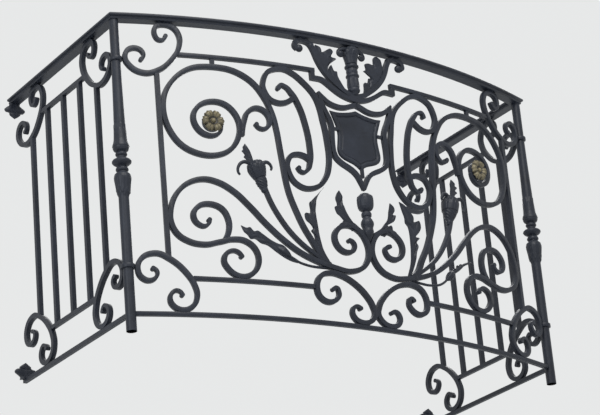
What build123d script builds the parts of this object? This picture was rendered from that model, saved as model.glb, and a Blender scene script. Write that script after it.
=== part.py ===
from build123d import *
from math import asin, atan2, cos, degrees, hypot, pi, sin, sqrt, tan
import os

os.makedirs("parts", exist_ok=True)

# Driving dimensions in millimetres. The origin is the middle of the left corner post's foot,
# X runs along the wall, Y into it and Z up. The front is a bow in plan between the two posts.
span = 1532.0
bow_rise = 132.0
return_depth = 655.0
rail_height = 1000.0
bar = 13.0
handrail_width = 46.0
handrail_depth = 22.0
post_radius_top = 14.0
post_radius_foot = 15.5

# The scrollwork was measured on a panel of this size, and is stretched to fit the real one.
drawn_half_front = 781.0
drawn_height = 1000.0

# Heights of the rails' middles above the slab, on the measured panel.
sub_rail_level = 875.0
middle_rail_level = 163.0
bottom_rail_level = 53.0
upper_collar_level = 850.0
lower_collar_level = 195.0
end_bar_place = 121.0
end_bar_low = 219.0
end_bar_high = 819.5
corner_room = 190.0
bars_on_return = 5

# Places from the middle of the bow of the planes that its scrolls are drawn on.
centre_plane = 80.0
tall_plane = 220.0
stem_plane = 300.0
volute_plane = 420.0

# Forging sizes.
half_bar = bar / 2
tip_width = 0.55 * bar
drawn_down = 70.0
tip_roll = 0.45 * bar
basket_roll = 9.0
stem_bar = 10.0
tendril_bar = 7.0
curl_bar = 5.0
leaf_thickness = 7.0
plate_thickness = 4.0
leaf_swell = 0.16
plate_rim = 6.0
rim_thickness = 8.0
collar_height = 12.0
collar_wall = 5.5
bite = 0.5

# The bow: half its chord, its radius, its centre and the length of front from middle to post.
half_span = span / 2
bow_radius = (half_span**2 + bow_rise**2) / (2 * bow_rise)
bow_centre_y = bow_radius - bow_rise
half_front = bow_radius * asin(half_span / bow_radius)
bow_axis = Axis((half_span, bow_centre_y, 0), (0, 0, 1))
stretch = half_front / drawn_half_front
lift = rail_height / drawn_height
under_handrail = rail_height - handrail_depth


def turn_between(first, second):
    """The turn from one direction to another, between minus and plus half a circle."""
    return (second - first + pi) % (2 * pi) - pi


def side_step(point, heading, distance):
    """The point that lies a distance to the left of a heading."""
    return (point[0] - distance * sin(heading), point[1] + distance * cos(heading))


def arc_middle(start, end, heading):
    """The middle of the arc that leaves start on a heading and reaches end."""
    chord = atan2(end[1] - start[1], end[0] - start[0])
    turn = 2 * turn_between(heading, chord)
    length = hypot(end[0] - start[0], end[1] - start[1])
    centre = ((start[0] + end[0]) / 2, (start[1] + end[1]) / 2)
    return side_step(centre, chord, -length / 2 * tan(turn / 4)), chord, heading + turn, length


def headings_through(points):
    """The direction of a smooth line at each of its points, by circles through neighbours."""
    chords = [atan2(b[1] - a[1], b[0] - a[0]) for a, b in zip(points, points[1:])]
    lengths = [hypot(b[0] - a[0], b[1] - a[1]) for a, b in zip(points, points[1:])]
    middle = [
        c + turn_between(c, d) * m / (m + n)
        for c, d, m, n in zip(chords, chords[1:], lengths, lengths[1:])
    ]
    first = chords[0] - turn_between(chords[0], middle[0])
    last = chords[-1] + turn_between(middle[-1], chords[-1])
    return [first] + middle + [last]


def stations_along(points):
    """Places on a chain of two arcs between each pair of points: point, heading, distance."""
    headings = headings_through(points)
    places = [(points[0], headings[0], 0.0)]
    for end, leaving in zip(points[1:], headings[1:]):
        start, heading, _ = places[-1]
        reach = (end[0] - start[0], end[1] - start[1])
        both = (cos(heading) + cos(leaving), sin(heading) + sin(leaving))
        spread = 2 * (1 - cos(leaving - heading))
        along = reach[0] * both[0] + reach[1] * both[1]
        square = reach[0] ** 2 + reach[1] ** 2
        if spread < 1e-9:
            arm = square / (2 * along)
        else:
            arm = (sqrt(along**2 + spread * square) - along) / spread
        joint = (
            (start[0] + end[0]) / 2 + arm / 2 * (cos(heading) - cos(leaving)),
            (start[1] + end[1]) / 2 + arm / 2 * (sin(heading) - sin(leaving)),
        )
        for target in (joint, end):
            start, heading, distance = places[-1]
            middle, chord, arrived, length = arc_middle(start, target, heading)
            places.append((middle, chord, distance + length / 2))
            places.append((target, arrived, distance + length))
    return places


def bent_edge(start, middle, end):
    """An arc through three points, or a line where they are straight."""
    chord = (end[0] - start[0], end[1] - start[1])
    bend = chord[0] * (middle[1] - start[1]) - chord[1] * (middle[0] - start[0])
    if abs(bend) < 0.005 * hypot(*chord):
        return Line(start, end, mode=Mode.PRIVATE)
    return ThreePointArc(start, middle, end, mode=Mode.PRIVATE)


def forged_bar(points, width=bar, drawn=(False, False), roll=tip_roll):
    """The outline of a forged bar along points, drawn down to a rolled tip at its free ends."""
    places = stations_along(points)
    whole = places[-1][2]
    left, right = [], []
    for point, heading, distance in places:
        gaps = ((distance, drawn[0]), (whole - distance, drawn[1]))
        from_tips = [gap for gap, free in gaps if free]
        full = min([1.0] + [gap / drawn_down for gap in from_tips])
        half = width / bar * (tip_width + (bar - tip_width) * full) / 2
        left.append(side_step(point, heading, half))
        right.append(side_step(point, heading, -half))
    with BuildSketch() as flat:
        with BuildLine():
            for i in range(0, len(left) - 2, 2):
                add(bent_edge(*left[i:i + 3]))
                add(bent_edge(*right[i:i + 3]))
            Line(left[0], right[0])
            Line(left[-1], right[-1])
        make_face()
        for end, inner, outwards, free in ((0, 2, -1, drawn[0]), (-1, -3, 1, drawn[1])):
            if free:
                point, heading, _ = places[end]
                turning = outwards * turn_between(places[inner][1], heading)
                radius = roll * width / bar
                shift = (radius - tip_width * width / bar / 2) * 0.7
                beside = side_step(point, heading, shift if turning > 0 else -shift)
                with Locations(side_step(beside, heading - pi / 2, outwards * radius / 4)):
                    Circle(radius)
    return flat.sketch


def swollen_edge(start, end, swell):
    """An edge whose middle stands out to the right of its direction by a share of its length."""
    middle = ((start[0] + end[0]) / 2, (start[1] + end[1]) / 2)
    heading = atan2(end[1] - start[1], end[0] - start[0])
    length = hypot(end[0] - start[0], end[1] - start[1])
    return bent_edge(start, side_step(middle, heading, -swell * length), end)


def swollen_face(corners, swell):
    """A face with a swollen edge between each pair of corners, as on a lobed leaf."""
    around = list(zip(corners, corners[1:] + corners[:1]))
    turned = sum(a[0] * b[1] - b[0] * a[1] for a, b in around)
    with BuildSketch() as flat:
        with BuildLine():
            for start, end in around:
                add(swollen_edge(start, end, swell if turned > 0 else -swell))
        make_face()
    return flat.sketch


def turned_face(profile):
    """Half the section of a turned piece: height, radius and how far the edge up to it swells."""
    with BuildSketch() as flat:
        with BuildLine():
            Line((0, profile[0][0]), (profile[0][1], profile[0][0]))
            for (low, inner, _), (high, outer, swell) in zip(profile, profile[1:]):
                length = hypot(high - low, outer - inner)
                add(swollen_edge((inner, low), (outer, high), swell / length))
            Line((profile[-1][1], profile[-1][0]), (0, profile[-1][0]))
            Line((0, profile[-1][0]), (0, profile[0][0]))
        make_face()
    return flat.sketch


def bow_plane(along):
    """The upright plane that touches the bow at a distance from its middle and faces out."""
    turn = along / bow_radius
    return Plane(
        origin=(half_span + bow_radius * sin(turn), bow_centre_y - bow_radius * cos(turn), 0),
        x_dir=(cos(turn), sin(turn), 0),
        z_dir=(sin(turn), -cos(turn), 0),
    )


def bow_section(along):
    """The upright plane across the bow there: its x is the distance from the bow's axis."""
    turn = along / bow_radius
    return Plane(
        origin=(half_span, bow_centre_y, 0),
        x_dir=(sin(turn), -cos(turn), 0),
        z_dir=(-cos(turn), -sin(turn), 0),
    )


def wall_plane(x):
    """The plane of the wall, facing away from it, with its origin at a return."""
    return Plane(origin=(x, return_depth, 0), x_dir=(1, 0, 0), z_dir=(0, -1, 0))


def return_plane(side):
    """The plane of a return: its x runs from the corner post to the wall."""
    return Plane(origin=(0 if side < 0 else span, 0, 0), x_dir=(0, 1, 0), z_dir=(1, 0, 0))


def on_bow(points, side, middle):
    """Points given as distance from the bow's middle and height, seen on a plane of the bow."""
    return [
        (bow_radius * sin((side * place * stretch - middle) / bow_radius), height * lift)
        for place, height in points
    ]


def save(piece, name, count=1):
    """Keep a piece's largest solids, so no crumb of a joint stays, label them and write the file."""
    with BuildPart() as whole:
        add(piece.part.solids().sort_by(SortBy.VOLUME)[-count:])
    whole.part.label = name
    export_step(whole.part, f"parts/{name}.step")
    return whole.part


def bow_shell(depth):
    """A curved sheet that follows the bow, as deep as the bars that are cut from it."""
    with BuildPart() as shell:
        with BuildSketch(bow_section(-half_front)):
            with Locations((bow_radius, rail_height / 2)):
                Rectangle(depth, rail_height * 1.1)
        revolve(axis=bow_axis, revolution_arc=degrees(2 * half_front / bow_radius))
    return shell.part


bar_shell = bow_shell(bar)
leaf_shell = bow_shell(leaf_thickness)
plate_shell = bow_shell(plate_thickness)
reach_out = 2 * bow_rise


def bow_rail(name, stretches, neighbours=()):
    """Square bars that follow the bow, each from one place to another at its own height."""
    with BuildPart() as rail:
        for start, end, height in stretches:
            with BuildSketch(bow_section(start)):
                with Locations((bow_radius, height)):
                    Rectangle(bar, bar)
            revolve(axis=bow_axis, revolution_arc=degrees((end - start) / bow_radius))
        for neighbour in neighbours:
            add(neighbour, mode=Mode.SUBTRACT)
    return save(rail, name, len(stretches))


def bow_scrolls(name, paths, side, middle, neighbours=(), width=bar, roll=tip_roll):
    """Bars forged into scrolls in the bow front: each path has its points and its free ends."""
    with BuildPart() as work:
        with BuildSketch(bow_plane(middle)):
            for points, drawn in paths:
                add(forged_bar(on_bow(points, side, middle), width, drawn, roll))
        extrude(amount=reach_out, both=True)
        add(bar_shell, mode=Mode.INTERSECT)
        for neighbour in neighbours:
            add(neighbour, mode=Mode.SUBTRACT)
    return save(work, name, len(paths))


def turned_solids(spots, profile):
    """Solids of one turned profile, each standing at its own spot of the bow."""
    with BuildPart() as pieces:
        for along in spots:
            stand = bow_plane(along * stretch)
            with BuildSketch(stand):
                add(turned_face([(level * lift, radius, swell) for level, radius, swell in profile]))
            revolve(axis=Axis(stand.origin, (0, 0, 1)))
    return pieces.part


def sheet_pieces(faces, shell):
    """Flat outlines in the middle plane of the bow, bent to it as a sheet."""
    with BuildPart() as sheet:
        with BuildSketch(bow_plane(0)):
            for face in faces:
                add(face)
        extrude(amount=reach_out, both=True)
        add(shell, mode=Mode.INTERSECT)
    return sheet.part


def ornament(name, parts, neighbours, count=1):
    with BuildPart() as piece:
        for part in parts:
            add(part)
        for neighbour in neighbours:
            add(neighbour, mode=Mode.SUBTRACT)
    return save(piece, name, count)


def mirror_path(points):
    """A path and its mirror image over the middle of the bow, as one path."""
    return [(-place, height) for place, height in reversed(points) if place > 0] + points


# Corner posts: slender turned columns with a leafy knop at half height, ringed by two collars.
knop = [
    (400, post_radius_foot, 0), (470, 21.5, 0), (492, post_radius_top, 4), (510, post_radius_top, 0),
    (534, post_radius_top, 11), (566, post_radius_top, 0), (575, 20.5, 0), (645, post_radius_top, -2.5),
]


def corner_post(name, x):
    with BuildPart() as post:
        with BuildSketch(Plane(origin=(x, 0, 0), x_dir=(1, 0, 0), z_dir=(0, -1, 0))):
            lifted = [(height * lift, radius, swell) for height, radius, swell in knop]
            top = (under_handrail, post_radius_top, 0)
            add(turned_face([(0, post_radius_foot, 0), *lifted, top]))
        revolve(axis=Axis((x, 0, 0), (0, 0, 1)))
        collars = ((upper_collar_level, post_radius_top), (lower_collar_level, post_radius_foot))
        for level, radius in collars:
            with BuildSketch(Plane.XY.offset(level * lift - collar_height / 2)):
                with Locations((x, 0)):
                    Circle(radius + collar_wall)
            extrude(amount=collar_height)
    return save(post, name)


left_post = corner_post("corner_post_left", 0)
right_post = corner_post("corner_post_right", span)
posts = (left_post, right_post)

# The handrail: a moulded cap, mitred over each corner post.
mitre_angle = atan2(1 - sin(half_front / bow_radius), cos(half_front / bow_radius))


def handrail_outline(centre):
    """A crowned top over a grooved edge and a narrower underside, centred on its top."""
    half = handrail_width / 2
    shape = [
        (0.45, 0), (0.8, 0.12), (1, 0.32), (1, 0.58), (0.72, 0.66), (0.72, 1),
        (-0.72, 1), (-0.72, 0.66), (-1, 0.58), (-1, 0.32), (-0.8, 0.12), (-0.45, 0),
    ]
    with BuildSketch() as section:
        with BuildLine():
            corners = [(centre + half * x, rail_height - handrail_depth * z) for x, z in shape]
            Polyline(*corners, close=True)
        make_face()
    return section.sketch


def mitre_plane(x, side):
    """The upright plane through a corner post in which the handrails meet."""
    facing = (-side * sin(mitre_angle), -cos(mitre_angle), 0)
    return Plane(origin=(x, 0, 0), x_dir=(0, 0, 1), z_dir=facing)


past_corner = half_front + handrail_width
with BuildPart() as handrail_front:
    with BuildSketch(bow_section(-past_corner)):
        add(handrail_outline(bow_radius))
    revolve(axis=bow_axis, revolution_arc=degrees(2 * past_corner / bow_radius))
    split(bisect_by=mitre_plane(0, -1), keep=Keep.TOP)
    split(bisect_by=mitre_plane(span, 1), keep=Keep.TOP)
front_cap = save(handrail_front, "handrail_front")


def return_handrail(name, x, side):
    with BuildPart() as cap:
        with BuildSketch(wall_plane(x)):
            add(handrail_outline(0))
        extrude(amount=return_depth + handrail_width)
        split(bisect_by=mitre_plane(x, side), keep=Keep.BOTTOM)
    return save(cap, name)


left_cap = return_handrail("handrail_left", 0, -1)
right_cap = return_handrail("handrail_right", span, 1)

# Rails of the bow front. The scrolls that they run into are cut out of them afterwards.
upper_corner = [
    (156, 931), (139, 919), (121, 943), (129, 965), (153, 972), (184, 961), (198, 935), (194, 896),
    (174, 862), (131, 822), (86, 808), (44, 826), (27.5, 858), (37, 881), (60, 889), (80, 879),
    (84, 862), (78, 852),
]
lower_corner = [
    (154, 113), (141, 124), (120, 112), (117, 92), (129, 74), (155, 65.4), (185, 80), (198, 112),
    (190, 148), (168, 182), (131, 216), (82, 237), (42, 222), (27.5, 190), (37, 163), (60, 153),
    (80, 164), (84, 180), (74, 191),
]


def from_corner(points):
    """Corner scroll points, given from the post, as places from the bow's middle."""
    return [((half_front - place) / stretch, height) for place, height in points]


def corner_scrolls(name, side):
    middle = side * (half_front - end_bar_place)
    paths = [(from_corner(upper_corner), (True, True)), (from_corner(lower_corner), (True, True))]
    return bow_scrolls(name, paths, side, middle, (front_cap, posts[side > 0]))


left_corner_scrolls = corner_scrolls("corner_scrolls_left", -1)
right_corner_scrolls = corner_scrolls("corner_scrolls_right", 1)
corner_pairs = (left_corner_scrolls, right_corner_scrolls)

bottom_rail = bow_rail(
    "bottom_rail_front", [(-half_front, half_front, bottom_rail_level * lift)], posts + corner_pairs
)

lower_c = [
    (147, 163), (137, 167), (128, 151), (142, 127), (168, 119), (194, 133), (202, 165), (184, 200),
    (150, 211.5), (110, 206), (70, 187), (36, 159), (13, 126), (6.3, 97), (20, 76), (52, 65.4),
    (79, 76), (87, 96), (76, 114), (58, 112),
]
heart = [
    (72, 325), (57, 314), (62, 294), (88, 284), (115, 298), (125, 328), (105, 361), (70, 372),
    (34, 359), (12, 329), (6.3, 290), (28, 247), (80, 224), (132, 229), (170, 238),
]


def centre_scrolls(name, path, drawn, side, neighbours):
    return bow_scrolls(name, [(path, drawn)], side, side * centre_plane, neighbours)


left_c = centre_scrolls("lower_c_scroll_left", lower_c, (True, True), -1, (bottom_rail,))
right_c = centre_scrolls("lower_c_scroll_right", lower_c, (True, True), 1, (bottom_rail, left_c))
both_c = (left_c, right_c)
left_heart = centre_scrolls("heart_scroll_left", heart, (True, False), -1, both_c)
right_heart = centre_scrolls("heart_scroll_right", heart, (True, False), 1, (*both_c, left_heart))

mid_start = 200.0 * stretch
corner_reach = half_front - corner_room
middle_height = middle_rail_level * lift
middle_rails = bow_rail(
    "middle_rails_front",
    [(-corner_reach, -mid_start, middle_height), (mid_start, corner_reach, middle_height)],
    corner_pairs + (left_c, right_c),
)
sub_rail_end = 142.0 * stretch
sub_height = sub_rail_level * lift
sub_rails = bow_rail(
    "sub_rails_front",
    [(-corner_reach, -sub_rail_end, sub_height), (sub_rail_end, corner_reach, sub_height)],
    corner_pairs,
)

# End bars hang between the corner scrolls.
with BuildPart() as end_bars:
    for side in (-1, 1):
        with BuildSketch(bow_section(side * (half_front - end_bar_place) - half_bar)):
            with Locations((bow_radius, (end_bar_low + end_bar_high) / 2 * lift)):
                Rectangle(bar, (end_bar_high - end_bar_low) * lift)
        revolve(axis=bow_axis, revolution_arc=degrees(bar / bow_radius))
    for neighbour in corner_pairs:
        add(neighbour, mode=Mode.SUBTRACT)
bars_at_ends = save(end_bars, "end_bars_front", 2)

# Cradle bar under the broken sub rail, and the half round basket that stands in it.
under_sub_rail = sub_rail_level - bar / lift + bite
cradle = mirror_path([
    (0, under_sub_rail - 52), (50, under_sub_rail - 43), (88, under_sub_rail - 22),
    (114, under_sub_rail - 3.5), (130, under_sub_rail), (168, under_sub_rail),
])
cradle_bar = bow_scrolls("cradle_bar", [(cradle, (False, False))], 1, 0.0, (sub_rails,))
basket = mirror_path([
    (0, 823), (35, 828), (66, 842), (92, 862), (112, 886), (127, 914), (139, 945), (153, 965),
    (175, 972), (197, 967), (206, 950), (194, 934), (180, 941),
])
basket_ring = bow_scrolls(
    "basket_ring", [(basket, (True, True))], 1, 0.0, (cradle_bar, front_cap), roll=basket_roll
)

# The tall scrolls beside the shield, an outer bar and an inner one in it.
tall_outer = [
    (222, 771), (236, 760), (254, 750), (277, 746), (302, 753), (318, 772), (325, 803), (305, 846),
    (257, 862.6), (218, 851), (184, 826), (152, 780), (140, 720), (131, 675), (122, 635), (117, 600),
    (121, 560), (134, 522), (166, 486), (212, 475), (250, 496), (266, 540), (253, 573), (228, 583),
    (204, 580), (187, 570),
]
tall_inner = [
    (275, 797), (268, 807), (250, 804), (228, 782), (206, 740), (191, 685), (183, 625), (186, 565),
    (196, 538), (214, 526), (229, 537),
]


# The shield's frame, a bar bent to the shield's outline, and the blank plate that it holds.
frame_top = [(0, 779), (70, 762), (134, 797)]
frame_side = [(134, 797), (99, 700), (104, 610)]
frame_heel = [(104, 610), (92, 588), (70, 575)]
frame_foot = [(70, 575), (33, 558), (0, 505)]
plate_top = [(0, 752), (45, 741), (92, 745)]
plate_side = [(92, 745), (73, 690), (72, 608)]
plate_foot = [(72, 608), (40, 592), (0, 573)]


def shield_face(stretches):
    """The shield's outline: each half is a few arcs through three points each."""
    with BuildSketch() as shape:
        with BuildLine():
            for side in (-1, 1):
                for points in stretches:
                    ThreePointArc(*on_bow(points, side, 0.0))
        make_face()
    return shape.sketch


with BuildPart() as shield_frame:
    with BuildSketch(bow_plane(0)):
        add(shield_face((frame_top, frame_side, frame_heel, frame_foot)))
        inner = offset(amount=-half_bar, kind=Kind.INTERSECTION, mode=Mode.PRIVATE)
        offset(amount=half_bar, kind=Kind.ARC)
        add(inner, mode=Mode.SUBTRACT)
    extrude(amount=reach_out, both=True)
    add(bar_shell, mode=Mode.INTERSECT)
    add(cradle_bar, mode=Mode.SUBTRACT)
frame_part = save(shield_frame, "shield_frame")

# The plate has a raised rim, which is the outline without its middle, cut from a thicker sheet.
with BuildPart() as shield_rim:
    with BuildSketch(bow_plane(0)):
        add(shield_face((plate_top, plate_side, plate_foot)))
        field = offset(amount=-plate_rim, kind=Kind.INTERSECTION, mode=Mode.PRIVATE)
        add(field, mode=Mode.SUBTRACT)
    extrude(amount=reach_out, both=True)
    add(bow_shell(rim_thickness), mode=Mode.INTERSECT)
with BuildPart() as shield_plate:
    with BuildSketch(bow_plane(0)):
        add(shield_face((plate_top, plate_side, plate_foot)))
    extrude(amount=reach_out, both=True)
    add(plate_shell, mode=Mode.INTERSECT)
    add(shield_rim.part)
plate_part = save(shield_plate, "shield_plate")

# Ties between the plate and its frame: place, height, width and height of each.
shield_ties = [(-86, 688, 30, 9), (86, 688, 30, 9), (0, 558, 9, 40)]
with BuildPart() as shield_collars:
    for place, height, width, tall in shield_ties:
        with BuildSketch(bow_plane(0)):
            with Locations((place * stretch, height * lift)):
                Rectangle(width, tall)
        extrude(amount=reach_out, both=True)
    add(bow_shell(0.7 * bar), mode=Mode.INTERSECT)
    add(frame_part, mode=Mode.SUBTRACT)
    add(plate_part, mode=Mode.SUBTRACT)
save(shield_collars, "shield_collars", 3)

# Volutes to each side, forged from stems that spring from one bundle beside the hearts.
upper_volute = [
    (150, 236), (178, 260), (200, 300), (229, 350), (250, 400), (267, 450), (276, 500), (280, 540),
    (286, 600), (291, 650), (300, 700), (325, 760), (355, 800), (410, 833), (485, 843), (560, 830),
    (612, 790), (641, 740), (647.5, 690), (634, 630), (596, 578), (545, 555), (500, 553), (452, 572),
    (420, 615), (412, 650), (425, 695), (455, 722), (495, 728), (535, 712), (556, 680), (551, 645),
    (527, 621), (497, 617), (478, 628), (472, 645),
]
lower_volute = [
    (150, 232), (190, 243), (245, 265), (297, 299), (350, 345), (400, 398), (445, 440), (490, 466),
    (535, 475), (585, 461), (624, 425), (645, 375), (647.5, 340), (631, 300), (592, 275), (550, 269),
    (500, 280), (462, 290), (425, 288), (394, 265), (385, 232), (398, 197), (440, 175.4), (480, 194),
    (494, 226), (478, 250), (452, 253), (438, 240),
]
upper_branch = [
    (407, 625), (398, 668), (380, 706), (352, 720), (323, 709), (312, 685), (320, 662), (340, 653),
    (358, 664),
]
lower_branch = [
    (490, 283), (474, 310), (471, 350), (487, 382), (525, 397), (560, 388), (578, 358), (566, 333),
    (543, 327), (529, 345),
]
bud_stem = [
    (150, 240), (178, 252), (210, 273), (248, 302), (272, 326), (306, 372), (328, 412), (341, 445),
    (350, 475),
]
tendril = [
    (150, 226), (205, 226), (240, 231), (270, 242), (305, 264), (345, 286), (375, 303), (400, 316),
    (428, 320),
]
tendril_leaf = [
    (352, 288), (374, 290), (390, 300), (404, 299), (416, 309), (440, 324), (418, 325), (406, 330),
    (394, 320), (378, 320), (370, 308),
]
bulb_place = 305.0
bulb_profile = [(255, 2, 0), (273, 2, 6)]

# Cast flowers in the eyes of the upper volutes: a deep cup, petals round its rim and a button.
rosette_place = 499.0
rosette_level = 661.0
rosette_radius = 35.0
petals = 6
petal_radius = 0.42 * rosette_radius
petal_circle = 0.6 * rosette_radius
cup_depth = 22.0
petal_depth = 7.0
with BuildPart() as rosettes:
    for side in (-1, 1):
        spot = bow_plane(side * rosette_place * stretch)
        with BuildSketch(spot.offset(-cup_depth / 2)):
            with Locations((0, rosette_level * lift)):
                Circle(rosette_radius - petal_depth)
        extrude(amount=cup_depth)
        with BuildSketch(spot.offset(cup_depth / 2 - bite)):
            with Locations((0, rosette_level * lift)):
                with PolarLocations(petal_circle, petals):
                    Circle(petal_radius)
        extrude(amount=petal_depth, taper=20)
        with BuildSketch(spot.offset(cup_depth / 2)):
            with Locations((0, rosette_level * lift)):
                Circle(petal_circle / 2)
        extrude(amount=petal_depth + 3, taper=15)
rosette_parts = save(rosettes, "rosettes", 2)

uppers, talls, stems = [], [], []

for side, word in ((-1, "left"), (1, "right")):
    own_c = left_c if side < 0 else right_c
    own_heart = left_heart if side < 0 else right_heart
    inner_bar = bow_scrolls(
        f"tall_scroll_inner_{word}", [(tall_inner, (True, True))], side, side * tall_plane
    )
    tall = bow_scrolls(
        f"tall_scroll_{word}", [(tall_outer, (False, False))], side, side * tall_plane,
        (inner_bar, frame_part, sub_rails),
    )
    talls.append(tall)
    upper = bow_scrolls(
        f"upper_volute_{word}", [(upper_volute, (False, True))], side, side * volute_plane,
        (own_heart, tall, bars_at_ends, rosette_parts),
    )
    uppers.append(upper)
    lower = bow_scrolls(
        f"lower_volute_{word}", [(lower_volute, (False, True))], side, side * volute_plane,
        (own_c, own_heart, upper, bars_at_ends, middle_rails),
    )
    bow_scrolls(
        f"volute_branches_{word}", [(upper_branch, (False, True)), (lower_branch, (False, True))],
        side, side * volute_plane, (upper, lower),
    )
    stem = bow_scrolls(
        f"bud_stem_{word}", [(bud_stem, (False, False))], side, side * stem_plane,
        (own_heart, upper, lower), stem_bar,
    )
    stems.append(stem)
    middle = side * stem_plane
    with BuildPart() as shoot:
        with BuildSketch(bow_plane(middle)):
            add(forged_bar(on_bow(tendril, side, middle), tendril_bar))
            add(swollen_face(on_bow(tendril_leaf, side, middle), leaf_swell / 2))
        extrude(amount=reach_out, both=True)
        add(leaf_shell, mode=Mode.INTERSECT)
        for neighbour in (own_heart, lower):
            add(neighbour, mode=Mode.SUBTRACT)
        add(turned_solids([side * bulb_place], bulb_profile))
    save(shoot, f"tendril_{word}")


# The plain returns to the wall: rails, five bars and a corner scroll in every corner.
def return_rail(name, side, start, height, neighbours):
    with BuildPart() as rail:
        with BuildSketch(return_plane(side)):
            with Locations(((start + return_depth - start) / 2, height)):
                Rectangle(return_depth - 2 * start, bar)
        extrude(amount=half_bar, both=True)
        for neighbour in neighbours:
            add(neighbour, mode=Mode.SUBTRACT)
    return save(rail, name)


bottoms = []
for side, word in ((-1, "left"), (1, "right")):
    post = posts[side > 0]
    cap = left_cap if side < 0 else right_cap
    bottom = return_rail(f"bottom_rail_{word}", side, 0, bottom_rail_level * lift, (post,))
    with BuildPart() as scrolls:
        for points in (upper_corner, lower_corner):
            lifted = [(place, height * lift) for place, height in points]
            turned = [(return_depth - place, height) for place, height in lifted]
            with BuildSketch(return_plane(side)):
                add(forged_bar(lifted, bar, (True, True)))
                add(forged_bar(turned, bar, (True, True)))
            extrude(amount=half_bar, both=True)
        for neighbour in (post, cap, bottom):
            add(neighbour, mode=Mode.SUBTRACT)
    scroll_part = save(scrolls, f"return_scrolls_{word}", 4)
    middle = return_rail(f"middle_rail_{word}", side, corner_room, middle_height, (scroll_part,))
    sub = return_rail(f"sub_rail_{word}", side, corner_room, sub_height, (scroll_part,))
    with BuildPart() as bars:
        inner_room = return_depth - 2 * end_bar_place
        for number in range(bars_on_return):
            outer = number in (0, bars_on_return - 1)
            low = lift * (end_bar_low if outer else middle_rail_level)
            high = lift * (end_bar_high if outer else sub_rail_level)
            place = end_bar_place + inner_room * number / (bars_on_return - 1)
            with BuildSketch(return_plane(side)):
                with Locations((place, (low + high) / 2)):
                    Rectangle(bar, high - low)
            extrude(amount=half_bar, both=True)
        for neighbour in (scroll_part, middle, sub):
            add(neighbour, mode=Mode.SUBTRACT)
    save(bars, f"return_bars_{word}", bars_on_return)
    bottoms.append(bottom)

# Wall brackets: three-pointed leaf plates under the ends of the handrails and over the bottom rails.
bracket_thickness = 9.0
bracket_corners = [
    (13, 0), (11, 18), (22, 20), (33, 33), (22, 42), (13, 46), (0, 64), (-13, 46), (-22, 42),
    (-33, 33), (-22, 20), (-11, 18), (-13, 0),
]


def wall_brackets(name, x, neighbours):
    with BuildPart() as brackets:
        for height, up in ((under_handrail, -1), (bottom_rail_level * lift + half_bar, 1)):
            with BuildSketch(wall_plane(x)):
                corners = [(across, height + up * drop) for across, drop in bracket_corners]
                add(swollen_face(corners, leaf_swell / 2))
            extrude(amount=bracket_thickness)
        for neighbour in neighbours:
            add(neighbour, mode=Mode.SUBTRACT)
    save(brackets, name, 2)


wall_brackets("wall_brackets_left", 0, (left_cap, bottoms[0]))
wall_brackets("wall_brackets_right", span, (right_cap, bottoms[1]))

# Cast ornaments on the middle line and on the stems.
finial_profile = [
    (330, 4, 0), (350, 17, 0), (372, 12, 0), (414, 10, 5), (417, 15, 0), (425, 15, 0), (428, 10, 0),
    (434, 13, 0), (490, 5, 15),
]
torch_profile = [
    (826, 8, 0), (836, 15.5, 0), (882, 13.5, 0), (882, 16.5, 0), (890, 16.5, 0), (892, 13, 0),
    (912, 13, 0), (914, 18, 0), (922, 18, 0), (925, 13.5, 0), (968, 21, -3), (978, 14, 0),
]
torch_arm = [(0, 964), (14, 969), (29, 968), (40, 958), (36, 949)]
torch_roll = 11.0
bud_place = 352.0
bud_profile = [(464, 6, 0), (474, 9.5, 0), (548, 10, 11), (556, 5, 0)]
outer_curl = [(356, 542), (370, 553), (384, 551), (392, 538), (389, 524)]
inner_curl = [(348, 542), (336, 550), (325, 546), (320, 534)]
bud_sprig = [
    (349, 545), (345, 560), (352, 572), (350, 582), (357, 588), (363, 604), (368, 586), (374, 578),
    (368, 567), (370, 557), (358, 545),
]
spike_leaf = [
    (160, 250), (168, 300), (174, 350), (176, 400), (170, 440), (156, 468), (138, 492), (162, 476),
    (184, 450), (196, 426), (193, 404), (211, 397), (213, 381), (195, 362), (201, 348), (190, 330),
    (188, 305), (176, 262),
]
heart_leaf = [
    (52, 366), (66, 394), (79, 418), (84, 442), (93, 477), (104, 458), (101, 440), (112, 426),
    (104, 408), (94, 392), (84, 366),
]
basket_leaf = [
    (34, 832), (44, 862), (57, 872), (58, 888), (47, 904), (61, 914), (54, 936), (66, 946), (82, 937),
    (90, 957), (104, 966), (118, 957), (130, 928), (118, 900), (98, 868), (68, 844),
]


def leaf_pair(outline, swell=leaf_swell / 2):
    return [swollen_face(on_bow(outline, side, 0.0), swell) for side in (-1, 1)]


def bar_pair(path, width, roll=tip_roll):
    return [forged_bar(on_bow(path, side, 0.0), width, (False, True), roll) for side in (-1, 1)]


arms = sheet_pieces(bar_pair(torch_arm, curl_bar * 2, torch_roll), bar_shell)
ornament("finial", [turned_solids([0], finial_profile)], (left_heart, right_heart))
ornament("torch", [turned_solids([0], torch_profile), arms], (basket_ring, front_cap))
bud_eggs = turned_solids([-bud_place, bud_place], bud_profile)
bud_curls = bar_pair(outer_curl, curl_bar) + bar_pair(inner_curl, curl_bar)
bud_sheet = sheet_pieces(bud_curls + leaf_pair(bud_sprig), leaf_shell)
ornament("buds", [bud_eggs, bud_sheet], stems, 2)
beside_leaves = (left_heart, right_heart, *uppers, *talls)
ornament("stem_leaves", [sheet_pieces(leaf_pair(spike_leaf), leaf_shell)], beside_leaves, 2)
both_hearts = (left_heart, right_heart)
ornament("heart_leaves", [sheet_pieces(leaf_pair(heart_leaf), leaf_shell)], both_hearts, 2)
ornament("basket_leaves", [sheet_pieces(leaf_pair(basket_leaf), leaf_shell)], (basket_ring,), 2)

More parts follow.
